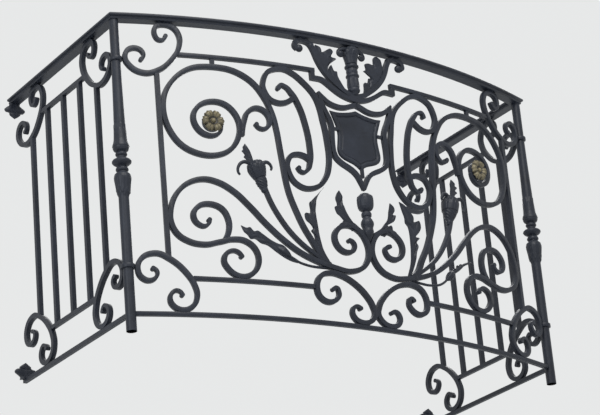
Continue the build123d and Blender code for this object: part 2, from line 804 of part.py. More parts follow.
# Short collars that tie the upper volutes to the sub rails over them.
volute_collar_place = 485.0
collar_foot = 843.0
with BuildPart() as volute_collars:
    for side in (-1, 1):
        with BuildSketch(bow_plane(side * volute_collar_place * stretch)):
            with Locations((0, (sub_rail_level + collar_foot) / 2 * lift)):
                Rectangle(bar, (sub_rail_level - collar_foot) * lift)
        extrude(amount=0.4 * bar, both=True)
    for neighbour in (sub_rails, *uppers):
        add(neighbour, mode=Mode.SUBTRACT)
save(volute_collars, "volute_collars", 2)
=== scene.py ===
import bpy
import bmesh
import math
from mathutils import Matrix, Vector


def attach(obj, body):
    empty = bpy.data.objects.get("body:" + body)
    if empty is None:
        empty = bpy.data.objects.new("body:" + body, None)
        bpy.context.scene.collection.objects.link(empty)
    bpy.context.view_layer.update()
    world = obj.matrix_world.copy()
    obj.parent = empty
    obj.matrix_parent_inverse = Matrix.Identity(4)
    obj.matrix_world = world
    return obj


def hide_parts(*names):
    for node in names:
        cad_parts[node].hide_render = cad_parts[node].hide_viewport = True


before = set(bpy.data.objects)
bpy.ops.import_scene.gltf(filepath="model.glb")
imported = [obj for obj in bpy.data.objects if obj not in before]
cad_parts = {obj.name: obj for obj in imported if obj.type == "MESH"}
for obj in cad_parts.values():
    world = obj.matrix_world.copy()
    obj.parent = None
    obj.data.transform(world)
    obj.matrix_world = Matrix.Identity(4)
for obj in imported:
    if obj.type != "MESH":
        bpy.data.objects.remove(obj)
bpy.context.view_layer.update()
print("frame loaded:", len(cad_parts), "nodes")

# The camera has the photograph's viewing angle: from below the railing, off to its left.
cameraPlace = {
    "position": (-3.0904, -5.2322, -2.0668),
    "yaw": 35.32,     # degrees from straight at the wall towards the right
    "pitch": 21.58,   # upwards
    "roll": -5.15,
    "lens": 136.11,   # millimetres on a 36 mm sensor
}


def addObject(name, data):
    made = bpy.data.objects.new(name, data)
    bpy.context.scene.collection.objects.link(made)
    return made


def makeCamera(place):
    data = bpy.data.cameras.new("camera")
    data.sensor_width = 36
    data.lens = place["lens"]
    data.clip_end = 100
    camera = addObject("camera", data)
    turn = (
        Matrix.Rotation(math.radians(-place["yaw"]), 4, "Z")
        @ Matrix.Rotation(math.radians(90 + place["pitch"]), 4, "X")
        @ Matrix.Rotation(math.radians(place["roll"]), 4, "Z")
    )
    camera.matrix_world = Matrix.Translation(place["position"]) @ turn
    bpy.context.scene.camera = camera


makeCamera(cameraPlace)


def newNode(tree, kind, place, **values):
    node = tree.nodes.new(kind)
    node.location = place
    for key, value in values.items():
        if key in node.inputs:
            node.inputs[key].default_value = value
        else:
            setattr(node, key, value)
    return node


# A math node fed with sockets or plain numbers.
def mathNode(tree, operation, place, *terms):
    node = newNode(tree, "ShaderNodeMath", place, operation=operation)
    for socket, term in zip(node.inputs, terms):
        if isinstance(term, float):
            socket.default_value = term
        else:
            tree.links.new(term, socket)
    return node.outputs["Value"]


# How large the paint's patterns are and how far each one reaches.
paintPattern = {
    "broadScale": 11.0, "broadDetail": 4.0, "broadRoughness": 0.6,
    "grainDetail": 3.0, "grainRoughness": 0.55,
    "dentScale": 55.0, "dentDetail": 1.0, "dentHeight": 2.5,
    "mottleFrom": 0.3, "mottleTo": 0.7,   # stretch of the broad noise that changes the tone
    "dustFrom": 0.35,                     # how far a face looks up before dust lies on it
    "roughSwing": 0.22,
}


# Weathered paint: mottled colour, dust where it faces up, and a hand-forged surface.
def buildWeatheredPaint(pattern):
    group = bpy.data.node_groups.new("weatheredPaint", "ShaderNodeTree")
    face = group.interface
    for name, kind, value in (
        ("Paint", "NodeSocketColor", (0.04, 0.045, 0.055, 1)),
        ("Dust", "NodeSocketColor", (0.17, 0.175, 0.18, 1)),
        ("Dust Amount", "NodeSocketFloat", 0.3),
        ("Mottle", "NodeSocketFloat", 0.3),
        ("Grain Scale", "NodeSocketFloat", 260.0),
        ("Roughness", "NodeSocketFloat", 0.42),
    ):
        socket = face.new_socket(name, in_out="INPUT", socket_type=kind)
        socket.default_value = value
    for name, kind in (
        ("Color", "NodeSocketColor"),
        ("Roughness", "NodeSocketFloat"),
        ("Height", "NodeSocketFloat"),
    ):
        face.new_socket(name, in_out="OUTPUT", socket_type=kind)
    link = group.links.new
    inside = newNode(group, "NodeGroupInput", (-1100, 0))
    outside = newNode(group, "NodeGroupOutput", (700, 0))
    coords = newNode(group, "ShaderNodeTexCoord", (-1100, -400))
    broad = newNode(group, "ShaderNodeTexNoise", (-850, 200), Scale=pattern["broadScale"],
                    Detail=pattern["broadDetail"], Roughness=pattern["broadRoughness"])
    link(coords.outputs["Object"], broad.inputs["Vector"])
    grain = newNode(group, "ShaderNodeTexNoise", (-850, -300),
                    Detail=pattern["grainDetail"], Roughness=pattern["grainRoughness"])
    link(coords.outputs["Object"], grain.inputs["Vector"])
    link(inside.outputs["Grain Scale"], grain.inputs["Scale"])
    dents = newNode(group, "ShaderNodeTexNoise", (-850, -600),
                    Scale=pattern["dentScale"], Detail=pattern["dentDetail"])
    link(coords.outputs["Object"], dents.inputs["Vector"])
    # mottling goes from a darker to a lighter tone of the same paint
    swing = newNode(group, "ShaderNodeMapRange", (-600, 250))
    swing.inputs["From Min"].default_value = pattern["mottleFrom"]
    swing.inputs["From Max"].default_value = pattern["mottleTo"]
    swing.inputs["To Min"].default_value = -1.0
    link(broad.outputs["Fac"], swing.inputs["Value"])
    amount = mathNode(group, "MULTIPLY_ADD", (-420, 250), swing.outputs["Result"],
                      inside.outputs["Mottle"], 1.0)
    tone = newNode(group, "ShaderNodeVectorMath", (-220, 150), operation="SCALE")
    link(inside.outputs["Paint"], tone.inputs[0])
    link(amount, tone.inputs["Scale"])
    # dust lies on faces that look up
    geometry = newNode(group, "ShaderNodeNewGeometry", (-850, 500))
    split = newNode(group, "ShaderNodeSeparateXYZ", (-650, 500))
    link(geometry.outputs["Normal"], split.inputs["Vector"])
    facing = newNode(group, "ShaderNodeMapRange", (-450, 500))
    facing.inputs["From Min"].default_value = pattern["dustFrom"]
    facing.inputs["From Max"].default_value = 1.0
    link(split.outputs["Z"], facing.inputs["Value"])
    patchy = mathNode(group, "MULTIPLY", (-250, 500), facing.outputs["Result"], grain.outputs["Fac"])
    dusty = mathNode(group, "MULTIPLY", (-80, 500), patchy, inside.outputs["Dust Amount"])
    mix = newNode(group, "ShaderNodeMix", (150, 200), data_type="RGBA")
    link(dusty, mix.inputs["Factor"])
    link(tone.outputs["Vector"], mix.inputs["A"])
    link(inside.outputs["Dust"], mix.inputs["B"])
    link(mix.outputs["Result"], outside.inputs["Color"])
    rough = mathNode(group, "MULTIPLY_ADD", (150, -100), broad.outputs["Fac"], pattern["roughSwing"],
                     inside.outputs["Roughness"])
    link(rough, outside.inputs["Roughness"])
    height = mathNode(group, "MULTIPLY_ADD", (150, -350), dents.outputs["Fac"], pattern["dentHeight"],
                      grain.outputs["Fac"])
    link(height, outside.inputs["Height"])
    return group


weatheredPaint = buildWeatheredPaint(paintPattern)


def paintMaterial(name, look):
    material = bpy.data.materials.new(name)
    material.use_nodes = True
    tree = material.node_tree
    shader = tree.nodes["Principled BSDF"]
    paint = newNode(tree, "ShaderNodeGroup", (-500, 0), node_tree=weatheredPaint)
    for key in ("Paint", "Dust", "Dust Amount", "Mottle", "Grain Scale", "Roughness"):
        paint.inputs[key].default_value = look[key]
    bump = newNode(tree, "ShaderNodeBump", (-250, -250), Strength=look["bump"], Distance=look["bumpDepth"])
    tree.links.new(paint.outputs["Color"], shader.inputs["Base Color"])
    tree.links.new(paint.outputs["Roughness"], shader.inputs["Roughness"])
    tree.links.new(paint.outputs["Height"], bump.inputs["Height"])
    tree.links.new(bump.outputs["Normal"], shader.inputs["Normal"])
    shader.inputs["Metallic"].default_value = look["metallic"]
    shader.inputs["Specular IOR Level"].default_value = look["gloss"]
    return material


ironLook = {
    "Paint": (0.015, 0.018, 0.026, 1),
    "Dust": (0.10, 0.106, 0.12, 1),
    "Dust Amount": 0.4,
    "Mottle": 0.28,
    "Grain Scale": 240.0,
    "Roughness": 0.30,
    "bump": 0.35,
    "bumpDepth": 0.0004,
    "metallic": 0.0,
    "gloss": 0.28,
}
giltLook = {
    "Paint": (0.155, 0.132, 0.078, 1),
    "Dust": (0.14, 0.13, 0.10, 1),
    "Dust Amount": 0.35,
    "Mottle": 0.5,
    "Grain Scale": 300.0,
    "Roughness": 0.33,
    "bump": 0.4,
    "bumpDepth": 0.0004,
    "metallic": 0.3,
    "gloss": 0.4,
    # painted shade for the hollows of the gilded flowers
    "paintedShade": (0.02, 0.02, 0.022, 1),
}
ironPaint = paintMaterial("ironPaint", ironLook)
gilding = paintMaterial("gilding", giltLook)


# Painted shade: the gilding is darkened in the hollows between the gilded petals, where the hollow layer
# says.
def addPaintedShade(material, paintedShade):
    tree = material.node_tree
    shader = tree.nodes["Principled BSDF"]
    hollow = newNode(tree, "ShaderNodeAttribute", (-500, 300), attribute_name="hollow")
    mix = newNode(tree, "ShaderNodeMix", (-200, 200), data_type="RGBA")
    tree.links.new(hollow.outputs["Fac"], mix.inputs["Factor"])
    tree.links.new(shader.inputs["Base Color"].links[0].from_socket, mix.inputs["A"])
    mix.inputs["B"].default_value = paintedShade
    tree.links.new(mix.outputs["Result"], shader.inputs["Base Color"])


# painted shade in the hollows of the flowers
addPaintedShade(gilding, giltLook["paintedShade"])
print("materials built")


def dress(node, material):
    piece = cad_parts[node]
    piece.data.materials.clear()
    piece.data.materials.append(material)
    for face in piece.data.polygons:
        face.material_index = 0
    return piece


# The bars are carried over from the frame, welded and given soft forged edges. Scrolls, uprights
# and bud stems are made a little stouter than the rails.
barEdges = {"weld": 0.00002, "round": 0.0009, "segments": 2, "angle": 35, "stout": 0.0013}
stoutBars = ("scroll", "volute_left", "volute_right", "branches", "end_bars", "return_bars", "bud_stem")


def softenBars(piece):
    bevel = piece.modifiers.new("softEdges", "BEVEL")
    bevel.width = barEdges["round"]
    bevel.segments = barEdges["segments"]
    bevel.limit_method = "ANGLE"
    bevel.angle_limit = math.radians(barEdges["angle"])
    bevel.harden_normals = True


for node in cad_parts:
    piece = dress(node, gilding if node == "rosettes" else ironPaint)
    weld = piece.modifiers.new("weld", "WELD")
    weld.merge_threshold = barEdges["weld"]
    if any(word in node for word in stoutBars):
        swell = piece.modifiers.new("stoutBars", "DISPLACE")
        swell.strength = barEdges["stout"]
        swell.mid_level = 0.0
    softenBars(piece)
print("bars dressed")

mm = 0.001
mergeDistance = 0.000005
sides = {"left": -1, "right": 1}   # of the bow's middle

# The bow of the front in plan: ornaments are modelled flat, with x along the bow from its middle,
# y inwards and z up, and are then bent to it.
bow = {"halfSpan": 0.766, "rise": 0.132}
bowRadius = (bow["halfSpan"] ** 2 + bow["rise"] ** 2) / (2 * bow["rise"])


def bendToBow(verts):
    for vertex in verts:
        turn = vertex.co.x / bowRadius
        reach = bowRadius - vertex.co.y
        vertex.co.x = bow["halfSpan"] + reach * math.sin(turn)
        vertex.co.y = bowRadius - bow["rise"] - reach * math.cos(turn)


def bowSpot(along, height=0.0, out=0.0):
    turn = along * mm / bowRadius
    reach = bowRadius + out * mm
    place = (
        bow["halfSpan"] + reach * math.sin(turn),
        bowRadius - bow["rise"] - reach * math.cos(turn),
        height * mm,
    )
    return Matrix.Translation(place) @ Matrix.Rotation(turn, 4, "Z")


def smoothPath(points, count):
    spline = [Vector(point) for point in points]
    spline = [2 * spline[0] - spline[1], *spline, 2 * spline[-1] - spline[-2]]
    made = []
    for step in range(count):
        place = step / (count - 1) * (len(points) - 1)
        index = min(int(place), len(points) - 2)
        a, b, c, d = spline[index:index + 4]
        t = place - index
        bend = (2 * a - 5 * b + 4 * c - d) * t**2
        twist = (3 * b - a - 3 * c + d) * t**3
        made.append(0.5 * (2 * b + (c - a) * t + bend + twist))
    return made


def blendList(values, share):
    place = share * (len(values) - 1)
    index = min(int(place), len(values) - 2)
    return values[index] + (values[index + 1] - values[index]) * (place - index)


def easeIn(value):
    value = min(max(value, 0.0), 1.0)
    return value * value * (3 - 2 * value)


def finishPiece(shape, name, material, replaced=(), crease=38):
    bmesh.ops.remove_doubles(shape, verts=shape.verts, dist=mergeDistance)
    bmesh.ops.recalc_face_normals(shape, faces=shape.faces)
    for face in shape.faces:
        face.smooth = True
    mesh = bpy.data.meshes.new(name)
    shape.to_mesh(mesh)
    shape.free()
    mesh.set_sharp_from_angle(angle=math.radians(crease))
    mesh.materials.append(material)
    piece = addObject(name, mesh)
    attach(piece, "root")
    if replaced:
        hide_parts(*replaced)
    return piece


def ironPiece(shape, name, node):
    return finishPiece(shape, name, ironPaint, [node])


axisClear = 0.0005   # relief starts this far from the axis


# A turned piece is spun from its profile (radius, height), divided finely enough for relief.
def addTurned(shape, profile, steps, row, matrix, relief=None):
    outline = []
    for (r0, h0), (r1, h1) in zip(profile, profile[1:]):
        parts = max(1, math.ceil(math.hypot(r1 - r0, h1 - h0) / row))
        outline += [(r0 + (r1 - r0) * i / parts, h0 + (h1 - h0) * i / parts) for i in range(parts)]
    outline.append(profile[-1])
    verts = [shape.verts.new((radius * mm, 0, height * mm)) for radius, height in outline]
    edges = [shape.edges.new(pair) for pair in zip(verts, verts[1:])]
    bmesh.ops.spin(shape, geom=verts + edges, cent=(0, 0, 0), axis=(0, 0, 1), angle=2 * math.pi,
                   steps=steps, use_merge=True)
    spun = connected(verts[0])
    for vertex in spun:
        radius = math.hypot(vertex.co.x, vertex.co.y)
        if relief and radius > axisClear:
            grown = radius + relief(math.atan2(vertex.co.y, vertex.co.x), vertex.co.z / mm) * mm
            vertex.co.x *= grown / radius
            vertex.co.y *= grown / radius
    bmesh.ops.transform(shape, matrix=matrix, verts=spun)
    return spun


def connected(start):
    found = {start}
    waiting = [start]
    while waiting:
        vertex = waiting.pop()
        for link in vertex.link_edges:
            other = link.other_vert(vertex)
            if other not in found:
                found.add(other)
                waiting.append(other)
    return list(found)


# How leaves round a turned piece fall off towards their edges and tips, as shares.
collarLeaf = {"taper": 2.4, "edge": 0.09, "rib": 0.35, "ribWidth": 0.06, "root": 0.55, "grow": 0.45,
              "tipEdge": 0.06}
fluteForm = {"fade": 3.0, "round": 0.7, "lift": 0.5}   # flutes run out over this height


# Relief of a row of leaves round a turned piece. The row gives the height of their roots and of
# their tips, their thickness, a factor on it and how many leaves the row is turned by.
def leafCollar(angle, height, count, row):
    root, tip, thick, factor, shift = row
    share = (height - root) / (tip - root)
    if share < 0 or share > 1:
        return 0.0
    across = abs((angle / (2 * math.pi) * count + shift) % 1 - 0.5)
    width = 0.5 * math.sqrt(max(1 - share**collarLeaf["taper"], 0.0))
    inside = easeIn((width - across) / collarLeaf["edge"])
    rib = collarLeaf["rib"] * math.exp(-((across / collarLeaf["ribWidth"]) ** 2))
    grown = thick * inside * (collarLeaf["root"] + collarLeaf["grow"] * share + rib)
    return factor * (grown * easeIn((1 - share) / collarLeaf["tipEdge"]))


def flutes(angle, height, low, high, count, deep):
    fade = easeIn((height - low) / fluteForm["fade"]) * easeIn((high - height) / fluteForm["fade"])
    hollow = abs(math.sin(angle * count / 2)) ** fluteForm["round"]
    return -deep * fade * hollow + deep * fade * fluteForm["lift"]


# A sheet gets its thickness straight back, so that thin tips stay clean.
def thicken(shape, sheet, thick):
    faces = {face for vertex in sheet for face in vertex.link_faces}
    made = bmesh.ops.extrude_face_region(shape, geom=list(faces))["geom"]
    back = [item for item in made if isinstance(item, bmesh.types.BMVert)]
    bmesh.ops.translate(shape, vec=(0, thick * mm, 0), verts=back)
    return back


def lineLength(line):
    return sum((second - first).length for first, second in zip(line, line[1:]))


# Evenly spaced spots along a line.
def spacedSpots(line, count):
    reach = [0.0]
    for first, second in zip(line, line[1:]):
        reach.append(reach[-1] + (second - first).length)
    made = []
    index = 0
    for step in range(count):
        want = reach[-1] * step / (count - 1)
        while index < len(line) - 2 and reach[index + 1] < want:
            index += 1
        stretch = max(reach[index + 1] - reach[index], 1e-9)   # never nought
        made.append(line[index].lerp(line[index + 1], min((want - reach[index]) / stretch, 1)))
    return made


leafEdgeSteps = 10   # between two points of a leaf's edge
leafFace = {"ribWidth": 0.16, "ribFade": 0.5, "domeFrom": 0.15, "domeSpan": 0.75}


def edgeOfLeaf(points, notches, rows):
    line = smoothPath([(x, 0, z) for x, z in points], leafEdgeSteps * (len(points) - 1) + 1)
    total = lineLength(line)
    found = [lineLength(line[:leafEdgeSteps * notch + 1]) / total for notch in notches]
    return spacedSpots(line, rows), found


# A leaf is laid between its inner and its outer edge, from root to tip: a rib runs up its middle
# and a valley from each notch down to the rib, so that every lobe is domed.
def addLeaf(shape, leaf, side, bend=True):
    rows = leaf["rows"]
    inner, innerCuts = edgeOfLeaf(leaf["inner"], leaf["innerCuts"], rows + 1)
    outer, outerCuts = edgeOfLeaf(leaf["outer"], leaf["outerCuts"], rows + 1)
    made = bmesh.ops.create_grid(shape, x_segments=leaf["columns"], y_segments=rows, size=1)["verts"]
    for vertex in made:
        across = vertex.co.x
        share = (vertex.co.y + 1) / 2
        row = round(share * rows)
        point = inner[row].lerp(outer[row], (across + 1) / 2)
        wide = min((outer[row] - inner[row]).length / leaf["wide"], 1)
        rib = leaf["rib"] * math.exp(-((across / leafFace["ribWidth"]) ** 2))
        rib *= 1 - leafFace["ribFade"] * share
        valley = 0.0
        for notch in innerCuts if across < 0 else outerCuts:
            off = share - notch + leaf["back"] * (1 - abs(across))
            valley = max(valley, math.exp(-((off / leaf["narrow"]) ** 2)))
        swell = math.sin(math.pi * (leafFace["domeFrom"] + leafFace["domeSpan"] * abs(across)))
        dome = leaf["puff"] * (1 - valley) * swell
        curl = leaf["curl"] * across * across * (1 - valley)
        point.y = -leaf["out"] - wide * (rib + dome + curl)
        point.x *= side
        vertex.co = point * mm
    verts = made + thicken(shape, made, leaf["thick"])
    if bend:
        bendToBow(verts)
    return verts


# A forged vine: rings along a path, bridged, with both ends closed.
def addVine(shape, points, radii, count=24, sides=12, side=1):
    path = smoothPath(points, count)
    loops = []
    for index, point in enumerate(path):
        ahead = path[min(index + 1, count - 1)] - path[max(index - 1, 0)]
        ahead.normalize()
        beside = ahead.cross(Vector((0, 1, 0))).normalized()
        turn = Matrix((beside, ahead.cross(beside), ahead)).transposed().to_4x4()
        radius = blendList(radii, index / (count - 1)) * mm
        ring = bmesh.ops.create_circle(
            shape, cap_ends=index in (0, count - 1), radius=radius, segments=sides,
            matrix=Matrix.Translation(point * mm) @ turn,
        )["verts"]
        loops.append(ring)
    for first, second in zip(loops, loops[1:]):
        edges = {
            edge for vertex in first + second for edge in vertex.link_edges
            if all(end in first for end in edge.verts) or all(end in second for end in edge.verts)
        }
        bmesh.ops.bridge_loops(shape, edges=list(edges))
    made = [vertex for ring in loops for vertex in ring]
    for vertex in made:
        vertex.co.x *= side
    bendToBow(made)
    return made


barEdgeSteps = 12   # between two points of a bar's path


# A square bar forged along a line in the bow, in even steps, wide and narrow where its list says.
def addBar(shape, points, side=1, widths=(15, 15), deep=14.5, step=3.0):
    line = smoothPath([(x, 0, z) for x, z in points], barEdgeSteps * (len(points) - 1) + 1)
    rows = max(2, round(lineLength(line) / step))
    spots = spacedSpots(line, rows + 1)
    made = bmesh.ops.create_grid(shape, x_segments=1, y_segments=rows, size=1)["verts"]
    for vertex in made:
        share = (vertex.co.y + 1) / 2
        row = round(share * rows)
        ahead = (spots[min(row + 1, rows)] - spots[max(row - 1, 0)]).normalized()
        point = spots[row] + Vector((ahead.z, 0, -ahead.x)) * (vertex.co.x * blendList(widths, share) / 2)
        vertex.co = Vector((point.x * side, -deep / 2, point.z)) * mm
    verts = made + thicken(shape, made, deep)
    bendToBow(verts)
    return verts


def addBall(shape, radius, matrix, flat, segments, rings):
    bmesh.ops.create_uvsphere(shape, u_segments=segments, v_segments=rings, radius=radius * mm,
                              matrix=matrix @ Matrix.Diagonal(flat))


def mirrored(points):
    return [(-x, z) for x, z in points[:0:-1]] + points


# The bars round the shield: cradle, basket ring, the shield's own frame and the tall scrolls.
cradleBar = {
    "path": [(0, 797), (15, 798), (30, 801), (45, 805.5), (60, 812), (75, 820.5), (90, 830.5), (100, 837.5),
             (110, 843.5), (120, 847.5), (132, 848.5), (158, 848.5)],
    "step": [(151, 844), (151, 850), (151, 862), (151, 874)],
}
basketRing = {
    "path": [(0, 811), (20, 814), (40, 822), (58, 834), (76, 848), (92, 863), (112, 887), (127, 914),
             (139, 945), (153, 965), (175, 971), (196, 966), (203, 950), (194, 941)],
    "tip": (188, 944), "tipRadius": 12.5, "tipFlat": (1, 0.85, 1, 1),
}
shieldFrame = {
    "top": [(-5, 782), (0, 780), (15, 775.5), (40, 766), (62, 763), (85, 766), (104, 773), (120, 785),
            (136, 804)],
    "topWidths": (15, 15, 15, 15, 15, 15, 6),
    "side": [(136, 804), (126, 765), (116, 740), (106, 720), (99.5, 700), (98.5, 680), (100.5, 650),
             (100.5, 620), (98, 605), (91, 590), (74, 576), (50, 564), (33, 554), (19, 540), (9, 520),
             (0, 498)],
    "sideWidths": (6, 14, 15, 15, 15, 15, 15, 15, 15, 14, 8),
}
tallScroll = {
    "path": [(222, 771), (236, 760), (254, 750), (277, 746), (302, 753), (318, 772), (325, 803), (305, 846),
             (257, 862.6), (218, 851), (184, 826), (158, 800), (143, 775), (134, 745), (128.5, 712),
             (123, 680), (119.5, 645), (117, 600), (121, 560), (134, 522), (166, 486), (212, 475),
             (250, 496), (266, 540), (253, 573), (228, 583), (204, 580), (187, 570)],
    "widths": (17, 15, 15, 15, 15, 15, 15, 15, 15, 15, 15, 17),
}

shape = bmesh.new()
addBar(shape, mirrored(cradleBar["path"]))
for side in sides.values():
    addBar(shape, cradleBar["step"], side)
softenBars(ironPiece(shape, "cradleBar", "cradle_bar"))

shape = bmesh.new()
addBar(shape, mirrored(basketRing["path"]))
for side in sides.values():
    tip = bowSpot(side * basketRing["tip"][0], basketRing["tip"][1])
    addBall(shape, basketRing["tipRadius"], tip, basketRing["tipFlat"], 28, 16)
softenBars(ironPiece(shape, "basketRing", "basket_ring"))

shape = bmesh.new()
for side in sides.values():
    addBar(shape, shieldFrame["top"], side, shieldFrame["topWidths"])
    addBar(shape, shieldFrame["side"], side, shieldFrame["sideWidths"])
softenBars(ironPiece(shape, "shieldFrame", "shield_frame"))

for word, side in sides.items():
    shape = bmesh.new()
    addBar(shape, tallScroll["path"], side, tallScroll["widths"])
    softenBars(ironPiece(shape, "tallScroll_" + word, "tall_scroll_" + word))
print("bars round the shield forged")

# Corner posts: plain shafts, a collar at each end and a cast knop with leaves above and below it.
post = {
    "shaft": [(0, 0), (15.5, 0), (15.5, 188.4), (20.4, 189.2), (21, 190.5), (21, 199.5), (20.4, 200.8),
              (15.5, 201.6), (15.5, 392)],
    "knop": [(15.5, 392), (15.5, 409), (16.4, 414), (18, 421), (18.8, 430), (19.8, 441), (21.6, 452),
             (23.2, 462), (23.6, 469), (22.4, 477), (19, 483.5), (15.2, 486.5), (14.8, 488.5), (17, 490),
             (18.8, 493), (19, 495.5), (18.4, 498.5), (16.4, 501.5), (14, 503.5), (13.8, 505.5), (17, 507.5),
             (22.5, 510.5), (27, 514.5), (28.8, 518), (28.6, 521), (26, 524.5), (21, 527.5), (16, 529.6),
             (13.8, 531), (13.6, 534), (14, 537), (16, 538.6), (17.4, 541), (17.6, 543.5), (16.8, 546.5),
             (14.6, 549), (14.4, 551), (17.5, 552.5), (21.5, 555.5), (23.8, 560.5), (24.4, 567), (23.2, 573),
             (20.8, 579.5), (19, 588), (18, 602), (17.2, 620), (16.8, 640), (16.8, 656)],
    "top": [(16.8, 656), (16.3, 672), (15.4, 722), (14.5, 777), (14, 843.4), (18.9, 844.2), (19.5, 845.5),
            (19.5, 854.5), (18.9, 855.8), (14, 856.6), (14, 978), (0, 978)],
    "steps": 72, "row": 1.6, "shaftSteps": 48, "shaftRow": 60,
    # rows of leaves that stand up round the bell, and that hang down round the vase
    "leaves": 7,
    "bellRows": ((566, 626, 1.5, 1.0, 0.0), (566, 640, 1.5, 0.7, 0.5)),
    "vaseRows": ((480, 417, 1.5, 1.3, 0.0), (480, 410, 1.5, 0.8, 0.5)),
    "beads": {"count": 18, "height": 0.3, "low": 511, "high": 528, "middle": 519, "fade": 8},
}


def postRelief(angle, height):
    grown = max(leafCollar(angle, height, post["leaves"], row) for row in post["bellRows"])
    for row in post["vaseRows"]:
        grown += leafCollar(angle, height, post["leaves"], row)
    # small beads round the lip of the disc
    beads = post["beads"]
    if beads["low"] < height < beads["high"]:
        fade = easeIn(1 - abs(height - beads["middle"]) / beads["fade"])
        grown += beads["height"] * math.cos(angle * beads["count"]) * fade
    return grown


for word, side in sides.items():
    shape = bmesh.new()
    spot = Matrix.Translation(((1 + side) * bow["halfSpan"], 0, 0))
    for part in ("shaft", "top"):
        addTurned(shape, post[part], post["shaftSteps"], post["shaftRow"], spot)
    addTurned(shape, post["knop"], post["steps"], post["row"], spot, postRelief)
    ironPiece(shape, "turnedPost_" + word, "corner_post_" + word)
print("posts turned")

# The torch under the handrail: fluted drum, rings, goblet with leaves, and a volute on each side.
torch = {
    "profile": [(0, 814), (9, 814), (12, 820), (17, 826), (18, 830), (17.4, 834), (16, 837), (17, 840),
                (17.4, 850), (16.8, 862), (16, 872), (16.6, 874), (18.8, 876), (19.4, 879), (18.6, 882),
                (15.8, 884), (15.4, 886), (16.4, 889), (16.8, 895), (16, 901), (15.2, 904), (18.4, 906),
                (20.2, 909), (20.2, 912.5), (18.6, 915.5), (15.4, 917.5), (14.8, 920), (16, 932),
                (18.6, 946), (22, 958), (23.4, 965), (22, 971), (17, 976), (0, 978)],
    "steps": 72, "row": 1.4, "stout": (1.1, 1.1, 1, 1),
    "flutes": 12,
    "fluted": ((839, 872, 0.9), (888, 902, 0.54)),   # from, to and how deep
    "leaves": 6,
    "leafRows": ((920, 964, 2.2, 1.0, 0.0), (920, 970, 2.0, 0.7, 0.5)),
    "arm": [(4, -3, 962), (16, -4, 968), (28, -4, 968), (38, -3, 964), (46, -2, 957), (47, -2, 948),
            (40, -2, 943), (33, -2, 946), (32, -2, 953)],
    "armRadii": [8, 7.4, 7, 6.6, 6.2, 5.6, 5.2, 4.8, 4.4],
    "armRings": 40, "armSides": 14,
    "eye": 9.0, "eyeSpot": (39, 951, 3), "eyeFlat": (1, 0.8, 1, 1),
}


def torchRelief(angle, height):
    grown = 0.0
    for low, high, deep in torch["fluted"]:
        grown += flutes(angle, height, low, high, torch["flutes"], deep)
    for row in torch["leafRows"]:
        grown += leafCollar(angle, height, torch["leaves"], row)
    return grown


shape = bmesh.new()
stout = bowSpot(0) @ Matrix.Diagonal(torch["stout"])
addTurned(shape, torch["profile"], torch["steps"], torch["row"], stout, torchRelief)
for side in sides.values():
    addVine(shape, torch["arm"], torch["armRadii"], torch["armRings"], torch["armSides"], side)
    along, height, out = torch["eyeSpot"]
    addBall(shape, torch["eye"], bowSpot(side * along, height, out), torch["eyeFlat"], 20, 12)
ironPiece(shape, "torchOrnament", "torch")

# The finial between the hearts: vase, collar and a closed bud in four sepals.
finial = {
    "profile": [(0, 328), (5, 330), (10, 340), (15, 350), (17, 357), (17.6, 363), (16.6, 368), (16.2, 372),
                (17.4, 377), (19.4, 383), (20, 389.5), (18.4, 396), (14.6, 403), (12.6, 407.5),
                (12.8, 409.6), (15.2, 411.2), (15.8, 414), (15.8, 420), (14.8, 423), (11.4, 425), (11, 427),
                (13.4, 429.4), (19.6, 434), (23, 441), (24.2, 450), (24.2, 460), (23.2, 470), (20.4, 478),
                (15.6, 483.4), (8, 487), (0, 488)],
    "steps": 80, "row": 1.4,
    "fluted": (376, 405, 10, 0.6),
    # four sepals with straight sides and a raised tip, leaving the dome bare between them
    "sepals": {"count": 4, "root": 430, "tall": 49, "width": 0.47, "taper": 0.45, "edge": 0.05,
               "rib": 0.25, "ribWidth": 0.05, "low": 0.7, "rise": 1.9, "tipEdge": 0.05},
}


def finialRelief(angle, height):
    grown = 0.0
    sepals = finial["sepals"]
    share = (height - sepals["root"]) / sepals["tall"]
    if 0 < share < 1:
        across = abs((angle / (2 * math.pi) * sepals["count"]) % 1 - 0.5)
        width = sepals["width"] * (1 - sepals["taper"] * share**3)
        inside = easeIn((width - across) / sepals["edge"])
        rib = 1 + sepals["rib"] * math.exp(-((across / sepals["ribWidth"]) ** 2))
        raised = sepals["low"] + sepals["rise"] * share**2
        grown = inside * raised * easeIn((1 - share) / sepals["tipEdge"]) * rib
    grown += flutes(angle, height, *finial["fluted"])
    return grown


shape = bmesh.new()
addTurned(shape, finial["profile"], finial["steps"], finial["row"], bowSpot(0), finialRelief)
ironPiece(shape, "finialBud", "finial")
print("torch and finial turned")

# The shield: a blank plate with a broad raised border and a groove inside it.
shield = {
    "top": [(0, 763), (24, 755), (50, 750), (72, 748), (96, 750)],
    "side": [(96, 750), (86, 724), (77, 698), (74, 672), (77, 645), (80, 622), (75, 605), (62, 594),
             (44, 587), (26, 581), (12, 573), (0, 563)],
    "middle": (0, 672),
    "topSpots": 30, "sideSpots": 80, "topSteps": 100, "sideSteps": 300,
    "borderRings": 30, "fieldRings": 8, "borderShare": 0.3,
    "nearSpots": 14,   # of the outline, searched on each side for the nearest edge
    # distance from the edge and how far the face stands out there
    "relief": [(0, 0), (0.8, 1.2), (2, 2.8), (6, 4.0), (10.5, 3.6), (13, 2.4), (14.4, -0.8), (16.4, -1.0),
               (18.4, 0.6), (24, 1.0), (50, 2.0), (80, 2.6)],
    "out": -3.0, "thick": 4.0,
}


def distanceToLine(point, first, second):
    along = second - first
    share = min(max((point - first).dot(along) / along.length_squared, 0), 1)
    return (point - first - along * share).length


